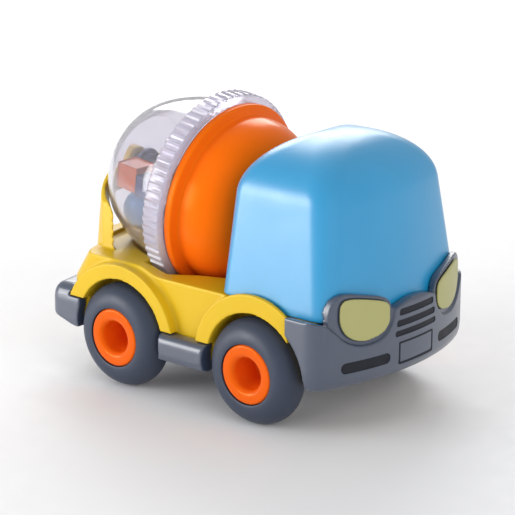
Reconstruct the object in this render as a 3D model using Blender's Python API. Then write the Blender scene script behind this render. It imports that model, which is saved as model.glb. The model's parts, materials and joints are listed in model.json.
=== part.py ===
"""Toy cement mixer, about 125 x 78 x 93 mm, as an assembly of separate pieces.

The truck faces -Y and stands on z = 0; +X is its left side and x = 0 its plane of symmetry. Lengths are in
millimetres and y is drawn from a point in front of the truck's middle; mesh_object() turns both into metres
about the middle.
"""

import math

import bmesh
import bpy
from mathutils import Matrix, Vector

MM = 0.001
GAP = 0.3  # between pieces that touch
MIDDLE_Y = 1.5  # drawn y of the middle of the truck's length

# Wheels and axles
TYRE_R = 17.0
FRONT_Y = -25.1
REAR_Y = 30.0
AXLE_R = 1.5
AXLE_HALF = 30.2
RUN_R = AXLE_R + 0.35  # bores that an axle runs in
HUB_R = 9.6
WELL_R = 5.7
WHEEL_STEPS = 24
WELL_INNER_X = 25.6  # inner wall of the wheel wells

# Chassis
BODY_HALF = 33.0
FENDER_X = 36.4
SIDE_X = 38.3  # sides of the bumper and the steps
FLOOR_Z = 15.6  # lower edge of the chassis
DECK_Z = 38.5  # ledge between the arches, on which the cab stands
REAR_DECK_Z = 41.0
ARCH_R = 18.1
ARCH_Z = TYRE_R + 0.6
PLATE_Z = 13.5  # underside of the base plate
STEP_Z = 13.0  # underside of the side steps
REAR_END = 64.0
ARCH_BOW = 3e-5  # how fast the rear arch curves forwards towards its sides

# Cab
CAB_Z = 39.0
CAB_TOP = 87.6
CAB_HALF = 34.2
CAB_FRONT = -57.3
CAB_REAR = -10.0
CAB_WALL = 1.8
CAB_SIDE_LEAN = 0.125
CAB_FRONT_LEAN = 0.14
CAB_REAR_LEAN = 0.05
CAB_CROWN_Z = 70.5  # where the walls start to round over
CAB_CROWN_POWER = 2.1
CAB_FRONT_CORNER = 7.8
CAB_REAR_CORNER = 4.5
SKIRT_Z = 37.2  # lower edge of the cab's front part, which drops into the bumper
SKIRT_REAR = -34.0

# Front bumper
BUMPER_FRONT = -61.0
BUMPER_REAR = -39.5
BUMPER_Z = 16.1
BUMPER_LIFT = 0.9  # the lower edge is this much higher in the middle
BUMPER_TOP = 40.4
BUMPER_WALL = 3.0
HOOD_SETBACK = 1.0
RECESS = 0.8  # depth of the slots in the front
LENS_SEAT = 1.3

# Drum: its axis rises towards the rear, through the rim's centre
DRUM_TILT = math.radians(8.0)
DRUM_CENTRE = Vector((0.0, 14.7, 58.8))
RIM_R = 31.1
RING_R = 33.5
DOME_R = 30.2
DOME_START = 5.0
DOME_LENGTH = 35.0
DOME_END = 38.4
CONE_END = -21.2
DRUM_WALL = 1.6
PIN_R = 2.0
DRUM_STEPS = 32

# Momentum motor on the front axle
MODULE = 0.7
AXLE_TEETH = 18
PINION_TEETH = 10
IDLER_TEETH = 20
MOTOR_PIN_R = 1.0
IDLER_Z = TYRE_R + MODULE * (AXLE_TEETH + PINION_TEETH) / 2
FLYWHEEL_Z = IDLER_Z + MODULE * (IDLER_TEETH + PINION_TEETH) / 2


# ---------------------------------------------------------------- helpers


def material(name, colour, roughness, metallic=0.0, transmission=0.0):
    made = bpy.data.materials.new(name)
    made.use_nodes = True
    shader = made.node_tree.nodes["Principled BSDF"]
    shader.inputs["Base Color"].default_value = (*colour, 1.0)
    shader.inputs["Roughness"].default_value = roughness
    shader.inputs["Metallic"].default_value = metallic
    shader.inputs["Transmission Weight"].default_value = transmission
    return made


def mesh_object(name, drawn, surface=None, origin=(0, MIDDLE_Y, 0)):
    """An object in metres from a drawn bmesh in millimetres, with its origin at a drawn point."""
    bmesh.ops.recalc_face_normals(drawn, faces=drawn.faces)
    shift = Matrix.Translation(-Vector(origin))
    bmesh.ops.transform(drawn, matrix=Matrix.Scale(MM, 4) @ shift, verts=drawn.verts)
    mesh = bpy.data.meshes.new(name)
    drawn.to_mesh(mesh)
    drawn.free()
    made = bpy.data.objects.new(name, mesh)
    made.location = (Vector(origin) - Vector((0, MIDDLE_Y, 0))) * MM
    bpy.context.scene.collection.objects.link(made)
    if surface:
        mesh.materials.append(surface)
    return made


def drawing_of(made):
    """Turns an object whose origin is the truck's middle back into a drawn bmesh, and removes it."""
    drawn = bmesh.new()
    drawn.from_mesh(made.data)
    back = Matrix.Translation((0, MIDDLE_Y, 0)) @ Matrix.Scale(1 / MM, 4)
    bmesh.ops.transform(drawn, matrix=back, verts=drawn.verts)
    bpy.data.objects.remove(made)
    return drawn


def lofted(rings):
    """A closed solid through rings of equally many points, with flat ends."""
    solid = bmesh.new()
    rows = [[solid.verts.new(point) for point in ring] for ring in rings]
    count = len(rows[0])
    for low, high in zip(rows, rows[1:]):
        for i in range(count):
            j = (i + 1) % count
            solid.faces.new((low[i], low[j], high[j], high[i]))
    solid.faces.new(rows[0][::-1])
    solid.faces.new(rows[-1])
    return solid


def turned(profile, steps, place=Matrix.Identity(4), closed=False):
    """A body of revolution about local Z from (height, radius) points.

    A closed profile makes a ring; an open one starts and ends on the axis with radius 0.
    """
    solid = bmesh.new()
    rows = []
    for height, radius in profile:
        if radius == 0:
            rows.append([solid.verts.new(place @ Vector((0, 0, height)))])
            continue
        angles = [2 * math.pi * i / steps for i in range(steps)]
        around = [Vector((radius * math.cos(a), radius * math.sin(a), height)) for a in angles]
        rows.append([solid.verts.new(place @ point) for point in around])
    pairs = list(zip(rows, rows[1:]))
    if closed:
        pairs.append((rows[-1], rows[0]))
    for one, two in pairs:
        for i in range(steps):
            j = (i + 1) % steps
            if len(one) == 1:
                solid.faces.new((one[0], two[i], two[j]))
            elif len(two) == 1:
                solid.faces.new((one[i], one[j], two[0]))
            else:
                solid.faces.new((one[i], one[j], two[j], two[i]))
    return solid


def box(low, high):
    x0, y0, z0 = low
    x1, y1, z1 = high
    return lofted([[(x0, y0, z), (x1, y0, z), (x1, y1, z), (x0, y1, z)] for z in (z0, z1)])


def rod(start, end, radius, steps=16):
    """A cylinder between two points."""
    start, end = Vector(start), Vector(end)
    length = (end - start).length
    turn = (end - start).to_track_quat("Z", "Y").to_matrix().to_4x4()
    place = Matrix.Translation(start) @ turn
    return turned([(0, 0), (0, radius), (length, radius), (length, 0)], steps, place)


def combine(target, other, operation):
    """Joins, cuts or intersects the target with a bmesh, for good."""
    tool = mesh_object("tool", other)
    modifier = target.modifiers.new("combine", "BOOLEAN")
    modifier.operation = operation
    modifier.object = tool
    graph = bpy.context.evaluated_depsgraph_get()
    result = bpy.data.meshes.new_from_object(target.evaluated_get(graph))
    target.modifiers.clear()
    old = target.data
    target.data = result
    bpy.data.meshes.remove(old)
    bpy.data.objects.remove(tool)


def join(target, other):
    combine(target, other, "UNION")


def cut(target, other):
    combine(target, other, "DIFFERENCE")


def keep(target, other):
    combine(target, other, "INTERSECT")


def arc(centre, radius, first, last, steps):
    """Points of an arc; the angles are in degrees, from -Y round towards +X."""
    angles = [math.radians(first + (last - first) * i / steps) for i in range(steps + 1)]
    return [(centre[0] + radius * math.sin(a), centre[1] - radius * math.cos(a)) for a in angles]


def plan_outline(half, front, rear, front_corner, rear_corner, front_radius):
    """Plan of a body with a gently curved front and round corners, symmetric about x = 0."""
    reach = half - front_corner
    centre_y = front + front_radius
    corner_y = centre_y - math.sqrt((front_radius - front_corner) ** 2 - reach**2)
    turn = math.degrees(math.asin(reach / (front_radius - front_corner)))
    right = arc((0, centre_y), front_radius, 0, turn, 6)
    right += arc((reach, corner_y), front_corner, turn, 90, 6)[1:]
    if rear_corner:
        right += arc((half - rear_corner, rear - rear_corner), rear_corner, 90, 180, 4)
    else:
        right.append((half, rear))
    return right + [(-x, y) for x, y in reversed(right[1:])]


def prism(outline, low, high, axis="Z"):
    """An outline extruded along an axis: (x, y) along Z, (x, z) along Y, or (y, z) along X."""
    place = {
        "Z": lambda a, b, c: (a, b, c),
        "Y": lambda a, b, c: (a, c, b),
        "X": lambda a, b, c: (c, a, b),
    }[axis]
    return lofted([[place(a, b, c) for a, b in outline] for c in (low, high)])


def drum_place():
    """Turns local Z into the drum's axis, with the rim's centre as origin."""
    return Matrix.Translation(DRUM_CENTRE) @ Matrix.Rotation(math.radians(-90) + DRUM_TILT, 4, "X")


def on_drum(along, radius=0.0, angle=0.0):
    """A point by its distance along the drum's axis and its polar place round it."""
    turn = math.radians(angle)
    side = Vector((1, 0, 0))
    up = Vector((0, -math.sin(DRUM_TILT), math.cos(DRUM_TILT)))
    axis = Vector((0, math.cos(DRUM_TILT), math.sin(DRUM_TILT)))
    return DRUM_CENTRE + along * axis + radius * (math.cos(turn) * side + math.sin(turn) * up)


def smooth(*objects):
    for made in objects:
        made.data.shade_smooth()
        made.data.set_sharp_from_angle(angle=math.radians(35))


# ---------------------------------------------------------------- shapes shared by neighbours


def cab_rings(inset=0.0, low=SKIRT_Z):
    """Sections of the cab, from its open lower edge to its crown."""
    top = CAB_TOP - inset
    levels = [(z, 1.0) for z in (low, 55.0, CAB_CROWN_Z)]
    for degrees in (18, 35, 50, 64, 76, 85):
        rise = math.sin(math.radians(degrees))
        shrink = (1 - rise**CAB_CROWN_POWER) ** (1 / CAB_CROWN_POWER)
        levels.append((CAB_CROWN_Z + (top - CAB_CROWN_Z) * rise, shrink))
    rings = []
    for z, scale in levels:
        height = z - CAB_Z
        half = CAB_HALF - CAB_SIDE_LEAN * height - inset
        front = CAB_FRONT + CAB_FRONT_LEAN * height + inset
        rear = CAB_REAR - CAB_REAR_LEAN * height - inset
        rounder = 1 + 0.9 * (1 - scale) + 0.004 * height
        front_corner = (CAB_FRONT_CORNER - inset) * rounder
        rear_corner = (CAB_REAR_CORNER - inset) * rounder
        outline = plan_outline(half, front, rear, front_corner, rear_corner, 100.0)
        middle = (front + rear) / 2
        rings.append([(x * scale, middle + (y - middle) * scale, z) for x, y in outline])
    return rings


def cab_clearance(low):
    """Space that the cab and what is inside it take, from a given height up."""
    return lofted([[(x * 1.012, y, z) for x, y, z in ring] for ring in cab_rings(-0.35, low)])


def skirt_clearance():
    """Space that the front part of the cab takes, down to its lower edge."""
    room = mesh_object("room", cab_clearance(SKIRT_Z - 0.35))
    cut(room, box((-50, SKIRT_REAR + 0.35, 0), (50, 20, 100)))
    return drawing_of(room)


def bumper_outline(inset, rear=BUMPER_REAR):
    corner = max(8.0 - inset, 1.0)
    return plan_outline(SIDE_X - inset, BUMPER_FRONT + inset, rear, corner, 0, 80.0 - inset)


def dome_radius(along):
    """Outer radius of the clear dome: nearly straight at first, then blunt."""
    share = min(max((along - DOME_START) / DOME_LENGTH, 0.0), 1.0)
    return DOME_R * (1 - share**1.36) ** 0.25


def dome_profile(inset=0.0):
    """(along, radius) from the mouth to the flat end, moved inwards by the inset."""
    points = [(DOME_START, dome_radius(DOME_START))]
    points += [(a, dome_radius(a)) for a in (12, 18.5, 24.5, 29, 32.5, 35.2, 36.6)]
    points += [(37.5, 15.8), (DOME_END, 12.4)]
    moved = []
    for i, (along, radius) in enumerate(points):
        before = Vector(points[max(i - 1, 0)])
        after = Vector(points[min(i + 1, len(points) - 1)])
        edge = (after - before).normalized()
        moved.append((along + edge.y * inset, radius - edge.x * inset))
    return moved


def trough():
    """Space that the turning drum needs, with running clearance."""
    profile = [(CONE_END - 0.7, 0), (CONE_END - 0.7, 20.5), (-18, 26.5), (-10, 29.5)]
    profile += [(-1.2, RING_R + 1.2), (6.6, RING_R + 1.2), (6.8, DOME_R + 1.5)]
    profile += [(a + 0.9, r + 0.9) for a, r in dome_profile()[1:]]
    profile += [(DOME_END + 1.0, 0)]
    return turned(profile, DRUM_STEPS, drum_place())


def wheel_cylinder(y, z, radius, inner_x, outer_x, side, steps=32):
    return rod((side * inner_x, y, z), (side * outer_x, y, z), radius, steps)


# ---------------------------------------------------------------- body


def make_chassis(yellow):
    """Yellow moulding: sills, arches, drum well, rear arch and the bulkhead behind the cab."""
    profile = [(-47.5, FLOOR_Z), (-47.5, DECK_Z), (17.5, DECK_Z), (23.0, REAR_DECK_Z), (54.2, REAR_DECK_Z)]
    profile += [(60.4, 31.4), (60.4, 27.4), (52.0, 27.4), (52.0, FLOOR_Z)]
    chassis = mesh_object("chassis", prism(profile, -BODY_HALF, BODY_HALF, "X"), yellow)
    # The rear is curved in plan, and its corners follow the slanted face.
    plan_rear = []
    for z, middle in ((FLOOR_Z - 1, 60.4), (31.4, 60.4), (REAR_DECK_Z, 54.2), (REAR_DECK_Z + 2, 52.9)):
        xs = [BODY_HALF + 1, 31.0, 24.0, 16.0, 8.0, 0.0, -8.0, -16.0, -24.0, -31.0, -BODY_HALF - 1]
        bow = [(x, middle - 0.006 * x * x - max(abs(x) - 29, 0) ** 2 * 0.16, z) for x in xs]
        plan_rear.append([(-BODY_HALF - 1, -60, z), (BODY_HALF + 1, -60, z)] + bow)
    keep(chassis, lofted(plan_rear))

    for side in (-1, 1):
        for y, lift, radius in ((FRONT_Y, 1.5, 23.2), (REAR_Y - 0.5, 1.0, 22.5)):
            round_top = wheel_cylinder(y, TYRE_R + lift, radius, 29, FENDER_X, side, 36)
            fender = mesh_object("fender", round_top)
            cut(fender, box((-50, -60, -20), (50, 60, 22.3)))
            cut(fender, box((-50, -60, -20), (50, BUMPER_REAR + GAP, 60)))
            cut(fender, box((-50, REAR_Y, -20), (50, 60, 27.4)))
            join(chassis, drawing_of(fender))

    # Rear arch: leans forward, bows rearwards in plan, and the dome's end reaches into its window.
    rings = []
    widths = ((33.0, 26.0), (41.0, 25.4), (50.0, 24.0), (56.0, 22.6))
    widths += ((61.0, 20.2), (64.0, 17.0), (65.4, 11.0))
    for z, half in widths:
        rear = 59.4 - 0.12 * (z - REAR_DECK_Z)
        xs = [half * (1 - 2 * i / 12) for i in range(13)]
        back = [(x, rear - ARCH_BOW * x**4, z) for x in xs]
        front = [(x, y - 5.0, z) for x, y, z in reversed(back)]
        rings.append(front + back)
    join(chassis, lofted(rings))
    join(chassis, rod(on_drum(41.0), on_drum(45.0), 4.6, 24))
    window = [(-14.8, 42.6), (14.8, 42.6), (15.6, 44.4), (15.6, 52.6), (14.8, 55.0), (13.0, 56.0)]
    window += [(-13.0, 56.0), (-14.8, 55.0), (-15.6, 52.6), (-15.6, 44.4)]
    cut(chassis, prism(window, 40, 64, "Y"))

    # Bulkhead between the cab and the drum, square to the drum's axis.
    plate = [(-19, -19), (19, -19), (17, -6), (8, 4), (5, 6.8), (0, 8), (-5, 6.8), (-8, 4), (-17, -6)]
    centre = on_drum(0)
    up = on_drum(0, 1, 90) - centre
    ends = [on_drum(along) for along in (CONE_END - 3.1, CONE_END - 0.75)]
    join(chassis, lofted([[end + Vector((x, 0, 0)) + up * z for x, z in plate] for end in ends]))

    # Hollow underside and the motor bay that opens into the cab.
    cut(chassis, box((-23.5, -44.5, 10), (23.5, -13.5, 60)))
    cut(chassis, box((-31.0, -6.0, 10), (31.0, 11.0, 21.0)))
    cut(chassis, box((-23.5, -13.6, 10), (23.5, 50.0, 21.0)))
    for x, y in screw_places():
        join(chassis, rod((x, y, FLOOR_Z), (x, y, 22.0), 3.2, 12))
        cut(chassis, rod((x, y, FLOOR_Z - 1), (x, y, 21.5), 1.5, 10))
    for side in (-1, 1):
        for y in (FRONT_Y, REAR_Y):
            cut(chassis, wheel_cylinder(y, ARCH_Z, ARCH_R, WELL_INNER_X, 45, side, 32))
    for y in (FRONT_Y, REAR_Y):
        cut(chassis, rod((-30, y, TYRE_R), (30, y, TYRE_R), 2.6, 12))
    cut(chassis, trough())
    cut(chassis, cab_clearance(CAB_Z - 0.35))
    cut(chassis, skirt_clearance())
    for along in ((CONE_END - 4, CONE_END), (36, 43.8)):
        cut(chassis, rod(on_drum(along[0]), on_drum(along[1]), PIN_R + GAP, 16))
    return chassis


def screw_places():
    return [(27.0, 2.5), (-27.0, 2.5), (14.0, 46.5), (-14.0, 46.5)]


def make_cab(blue):
    cab = mesh_object("cab", lofted(cab_rings()), blue)
    cut(cab, lofted(cab_rings(CAB_WALL, SKIRT_Z - 1)))
    cut(cab, box((-50, SKIRT_REAR, 20), (50, 10, CAB_Z)))
    return cab


def make_front_bumper(grey):
    """Grey moulding: wrap-round skin, two lamp hoods, grille arch and shallow slots."""
    rings = []
    levels = ((BUMPER_Z, 2.4), (16.9, 1.0), (19.5, 0.2), (22.0, 0.0), (39.4, 0.0), (BUMPER_TOP, 0.7))
    for z, inset in levels:
        lift = BUMPER_LIFT if z < 19 else 0.0
        rings.append([(x, y, z + lift * (1 - (x / SIDE_X) ** 2)) for x, y in bumper_outline(inset)])
    bumper = mesh_object("front_bumper", lofted(rings), grey)
    cut(bumper, prism(bumper_outline(BUMPER_WALL, BUMPER_REAR + 5), 10, 50))
    side = [(39.5, 50), (39.5, 38.2), (35.5, 37.7), (33.0, 35.6), (29.0, 31.6), (24.0, 29.4), (18.0, 29.4)]
    side += [(13.8, 31.2), (11.3, 34.5), (10.3, 38.4)]
    arch = [(x, 40.3 - 0.018 * x * x) for x in (7, 3.5, 0, -3.5, -7)]
    crest = side + arch + [(-x, z) for x, z in reversed(side)]
    cut(bumper, prism(crest, -70, -30, "Y"))

    for sign in (-1, 1):
        hood = mesh_object("hood", prism(bumper_outline(HOOD_SETBACK), 26.0, 48.0))
        cut(hood, prism(bumper_outline(6.5, BUMPER_REAR + 9), 20, 50))
        outline = [(10.7, 26), (10.7, 38.6), (12.0, 41.2), (15.0, 43.0), (22.0, 44.8), (27.0, 45.9)]
        outline += [(30.0, 45.7), (32.2, 43.9), (33.4, 41.0), (33.7, 38.0), (33.7, 26)]
        keep(hood, prism([(sign * x, z) for x, z in outline], -70, -47.9, "Y"))
        cut(hood, front_layer(lens_outline(sign, GAP), LENS_SEAT, 0.0))
        join(bumper, drawing_of(hood))
    cut(bumper, skirt_clearance())

    for sign in (-1, 1):
        cut(bumper, wheel_cylinder(FRONT_Y - 0.9, TYRE_R, 20.6, 25, 45, sign, 40))
        lower = [(13.4, 25.6), (13.8, 23.0), (30.0, 19.6), (30.4, 22.6)]
        cut(bumper, front_layer([(sign * x, z) for x, z in lower], RECESS, -3.0))
    for low, half in ((36.2, 8.3), (33.2, 9.3), (30.2, 10.4)):
        slot = [(-half - 0.4, low), (half + 0.4, low), (half, low + 1.8), (-half, low + 1.8)]
        cut(bumper, front_layer(slot, RECESS, -3.0))
    return bumper


def lens_outline(sign, grow):
    """Front view of a headlight: flat slanting top, bowl-shaped below."""
    points = [(12.3, 37.5), (12.6, 34.6), (14.6, 32.2), (18.0, 31.0), (22.0, 30.6), (25.8, 31.6)]
    points += [(28.6, 33.8), (30.1, 37.0), (30.4, 40.4), (29.8, 43.2), (28.0, 44.4), (24.5, 44.1)]
    points += [(19.0, 42.9), (14.8, 41.6), (12.8, 40.2)]
    middle = Vector((21.5, 37.8))
    grown = []
    for point in points:
        away = Vector(point) - middle
        x, z = middle + away * (1 + grow / away.length)
        grown.append((sign * x, z))
    return grown


def front_layer(outline, deep, shallow):
    """What an outline in front view takes of the bumper's curved front between two depths."""
    layer = mesh_object("layer", prism(outline, -70, -45, "Y"))
    keep(layer, prism(bumper_outline(shallow), 15, 50))
    cut(layer, prism(bumper_outline(deep, BUMPER_REAR + 5), 10, 55))
    return drawing_of(layer)


def make_base_plate(grey):
    """Grey floor with side steps, axle bearing blocks and an opening for the motor."""
    top = FLOOR_Z - GAP
    plate = mesh_object("base_plate", box((-25.2, -44.0, PLATE_Z), (25.2, 50.5, top)), grey)
    join(plate, box((-SIDE_X, -8.6, PLATE_Z + 0.2), (SIDE_X, 13.6, top - 0.1)))
    for side in (-1, 1):
        low, high = sorted((side * (BODY_HALF + 0.4), side * (SIDE_X + 0.4)))
        join(plate, box((low, -9.0, STEP_Z), (high, 14.0, 22.0)))
        for y in (FRONT_Y, REAR_Y):
            low, high = sorted((side * 16.0, side * 20.5))
            join(plate, box((low, y - 4.0, PLATE_Z + 1), (high, y + 4.0, 20.6)))
    for side in (-1, 1):
        for y in (FRONT_Y, REAR_Y):
            cut(plate, wheel_cylinder(y, TYRE_R, 18.5, WELL_INNER_X, 45, side, 40))
    cut(plate, box((-8.0, FRONT_Y - 11.2, 10), (12.6, FRONT_Y + 11.2, 18)))
    for y in (FRONT_Y, REAR_Y):
        cut(plate, rod((-24, y, TYRE_R), (24, y, TYRE_R), RUN_R, 16))
    screw_hole = [(10, 0), (10, 3.2), (14.3, 3.2), (14.3, 1.8), (20, 1.8), (20, 0)]
    for x, y in screw_places():
        cut(plate, turned(screw_hole, 12, Matrix.Translation((x, y, 0))))
    return plate


def make_rear_bumper(grey):
    """Grey bar across the back: open towards the front and below, its lower edge rising rearwards."""
    outline = [(x, -y) for x, y in plan_outline(37.0, -REAR_END, -47.3, 3.5, 0, 180.0)]
    bar = mesh_object("rear_bumper", prism(outline, 14.5, 27.0), grey)
    cut(bar, prism([(45, 10), (70, 10), (70, 22.4), (50, 16.0), (45, 16.0)], -50, 50, "X"))
    cut(bar, prism([(-32, 45), (32, 45), (32, 54), (29, 57.6), (-29, 57.6), (-32, 54)], 10, 24.6))
    cut(bar, box((-BODY_HALF - 0.4, 40, 10), (BODY_HALF + 0.4, 52.4, 30)))
    for side in (-1, 1):
        cut(bar, wheel_cylinder(REAR_Y, ARCH_Z, ARCH_R + 0.2, 24, 45, side, 36))
    return bar


def make_screws(steel):
    for index, (x, y) in enumerate(screw_places(), 1):
        head = [(13.6, 0), (13.6, 2.8), (14.0, 2.8), (14.0, 1.2), (20.5, 1.2), (21.2, 0)]
        screw = turned(head, 12, Matrix.Translation((x, y, 0)))
        smooth(mesh_object(f"base_screw_{index}", screw, steel, (x, y, 14)))


# ---------------------------------------------------------------- wheels


def tyre_profile():
    """(distance from the tyre's middle, radius): a fat round section on a stepped seat."""
    tube = 6.5
    inner_side = 5.3
    centre = TYRE_R - tube
    ring = []
    for angle in (-5, 25, 55, 90, 125, 155, 185):
        turn = math.radians(angle)
        width = tube if angle < 90 else inner_side
        ring.append((width * math.cos(turn), centre + tube * math.sin(turn)))
    return ring + [(-5.1, 8.9), (4.0, 8.9), (4.0, HUB_R + GAP), (6.45, HUB_R + GAP)]


def hub_profile():
    """(distance from the tyre's middle, radius): round rim, deep well, barrel, and a blind bore inside."""
    rim = [(-1.2, 0), (-1.2, 3.6), (0.2, 4.9), (4.6, WELL_R), (5.9, 6.4), (6.3, 7.6), (5.9, 8.9)]
    barrel = [(4.3, HUB_R), (4.3, 8.6), (-4.9, 8.6), (-4.9, AXLE_R + GAP), (-2.2, AXLE_R + GAP), (-2.2, 0)]
    return rim + barrel


def make_wheels(rubber, orange, steel):
    middle = 32.7
    for name, y in (("front", FRONT_Y), ("rear", REAR_Y)):
        for word, side in (("left", 1), ("right", -1)):
            place = Matrix.Translation((side * middle, y, TYRE_R))
            place = place @ Matrix.Rotation(math.radians(90 * side), 4, "Y")
            centre = (side * middle, y, TYRE_R)
            tyre = turned(tyre_profile(), WHEEL_STEPS, place, closed=True)
            hub = turned(hub_profile(), WHEEL_STEPS, place)
            smooth(mesh_object(f"tyre_{name}_{word}", tyre, rubber, centre))
            smooth(mesh_object(f"hub_{name}_{word}", hub, orange, centre))
        axle = rod((-AXLE_HALF, y, TYRE_R), (AXLE_HALF, y, TYRE_R), AXLE_R, 16)
        smooth(mesh_object(f"{name}_axle", axle, steel, (0, y, TYRE_R)))


# ---------------------------------------------------------------- momentum motor


def gear_solid(teeth, low, high, centre_z, tooth_at):
    """A spur gear about an axis along X; tooth_at is the angle of one tooth from +Y, in degrees."""
    pitch_r = MODULE * teeth / 2
    step = 2 * math.pi / teeth
    outline = []
    for i in range(teeth):
        middle = math.radians(tooth_at) + i * step
        for radius, width in ((-0.9, -0.26), (0.8, -0.11), (0.8, 0.11), (-0.9, 0.26)):
            angle = middle + width * step
            reach = pitch_r + radius * MODULE
            outline.append((FRONT_Y + reach * math.cos(angle), centre_z + reach * math.sin(angle)))
    return prism(outline, low, high, "X")


def make_motor(brass, white, steel, casing):
    axle_at = (0, FRONT_Y, TYRE_R)
    axle_gear = mesh_object("axle_gear", gear_solid(AXLE_TEETH, -4.0, -1.2, TYRE_R, 90), brass, axle_at)
    cut(axle_gear, rod((-6, FRONT_Y, TYRE_R), (6, FRONT_Y, TYRE_R), AXLE_R + GAP, 16))

    half_tooth = 180 / PINION_TEETH
    idler_at = (0, FRONT_Y, IDLER_Z)
    small_gear = gear_solid(PINION_TEETH, -4.3, 0.4, IDLER_Z, -90 + half_tooth)
    idler = mesh_object("idler_gear", small_gear, white, idler_at)
    join(idler, gear_solid(IDLER_TEETH, 0.3, 2.8, IDLER_Z, 90))
    cut(idler, rod((-6, FRONT_Y, IDLER_Z), (6, FRONT_Y, IDLER_Z), MOTOR_PIN_R + GAP, 12))

    wheel_at = (0, FRONT_Y, FLYWHEEL_Z)
    pinion = gear_solid(PINION_TEETH, 0.0, 3.6, FLYWHEEL_Z, -90 + half_tooth)
    flywheel = mesh_object("flywheel", pinion, steel, wheel_at)
    join(flywheel, rod((3.5, FRONT_Y, FLYWHEEL_Z), (8.8, FRONT_Y, FLYWHEEL_Z), 8.4, 32))
    cut(flywheel, rod((-6, FRONT_Y, FLYWHEEL_Z), (12, FRONT_Y, FLYWHEEL_Z), MOTOR_PIN_R + GAP, 12))

    for name, z in (("idler_pin", IDLER_Z), ("flywheel_pin", FLYWHEEL_Z)):
        pin = rod((-6.6, FRONT_Y, z), (11.0, FRONT_Y, z), MOTOR_PIN_R, 12)
        smooth(mesh_object(name, pin, steel, (0, FRONT_Y, z)))

    front, rear = FRONT_Y - 10.4, FRONT_Y + 10.4
    low, high = 8.6, 48.6
    housing = mesh_object("motor_housing", box((-7.0, front, low), (9.8, rear, high)), casing)
    cut(housing, box((-5.6, front + 1.2, low + 1.1), (12.0, rear - 1.2, high - 1.2)))
    cover = mesh_object("motor_cover", box((10.1, front, low), (11.4, rear, high)), casing)
    for piece in (housing, cover):
        cut(piece, rod((-12, FRONT_Y, TYRE_R), (14, FRONT_Y, TYRE_R), RUN_R, 16))
        for z in (IDLER_Z, FLYWHEEL_Z):
            cut(piece, rod((-12, FRONT_Y, z), (14, FRONT_Y, z), MOTOR_PIN_R + GAP, 12))


# ---------------------------------------------------------------- drum


def make_drum(orange, clear, steel, navy):
    outer = [(0.3, 29.4), (0.3, 30.6), (-0.4, RIM_R), (-2.2, RIM_R), (-2.9, 30.4), (-3.4, 28.9)]
    outer += [(-5.0, 28.3), (-9.0, 27.8), (-13.0, 26.7), (-16.5, 24.7), (-19.3, 21.4)]
    outer += [(CONE_END, 16.0), (CONE_END, PIN_R + GAP)]
    inner = [(CONE_END + DRUM_WALL, PIN_R + GAP), (CONE_END + DRUM_WALL, 15.0), (-18.0, 20.0)]
    inner += [(-15.5, 23.1), (-12.4, 25.1), (-8.8, 26.2), (-4.8, 26.7), (-1.4, 28.0)]
    shell = turned(outer + inner, DRUM_STEPS, drum_place(), True)
    cone = mesh_object("drum_cone", shell, orange, DRUM_CENTRE)

    skin = dome_profile()
    lining = dome_profile(DRUM_WALL)
    profile = [(0.8, DOME_R)] + skin + [(DOME_END, PIN_R + GAP)]
    profile += [(DOME_END - DRUM_WALL, PIN_R + GAP)] + lining[::-1] + [(0.8, DOME_R - DRUM_WALL)]
    dome = mesh_object("drum_dome", turned(profile, DRUM_STEPS, drum_place(), True), clear, DRUM_CENTRE)
    smooth(cone, dome)
    mesh_object("drum_grip_ring", ribbed_ring(), clear, DRUM_CENTRE)

    low = DOME_END - DRUM_WALL - GAP
    flanged = [(low - 3.2, PIN_R + GAP), (low - 3.2, 3.6), (low - 1.2, 3.6), (low - 1.2, 5.2), (low, 5.2)]
    bush = turned(flanged + [(low, PIN_R + GAP)], 20, drum_place(), True)
    smooth(mesh_object("drum_rear_bush", bush, navy, DRUM_CENTRE))
    front_pin = rod(on_drum(CONE_END - 3.4), on_drum(CONE_END + 5.0), PIN_R, 16)
    rear_pin = rod(on_drum(DOME_END - 6.0), on_drum(43.4), PIN_R, 16)
    smooth(mesh_object("drum_front_pin", front_pin, steel, on_drum(CONE_END)))
    smooth(mesh_object("drum_rear_pin", rear_pin, steel, on_drum(DOME_END)))


def ribbed_ring():
    """Grip ring: axial ribs between two plain edges, round a plain inner face."""
    place = drum_place()
    ribs = 40
    inside = DOME_R + 0.5
    sections = ((0.8, 32.0), (1.3, RING_R), (5.0, RING_R), (5.4, 32.4), (5.4, inside), (0.8, inside))
    grip = bmesh.new()
    rows = []
    for along, radius in sections:
        groove = 0.7 if radius == RING_R else 0.0
        row = []
        for i in range(2 * ribs):
            angle = math.pi * i / ribs
            reach = radius - groove * (i % 2)
            point = Vector((reach * math.cos(angle), reach * math.sin(angle), along))
            row.append(grip.verts.new(place @ point))
        rows.append(row)
    for one, two in zip(rows, rows[1:] + rows[:1]):
        for i in range(2 * ribs):
            j = (i + 1) % (2 * ribs)
            grip.faces.new((one[i], one[j], two[j], two[i]))
    return grip


def in_drum(along, across, up):
    """A point by its distance along the drum's axis, its x, and its height above the axis."""
    return on_drum(along, up, 90) + Vector((across, 0, 0))


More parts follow.
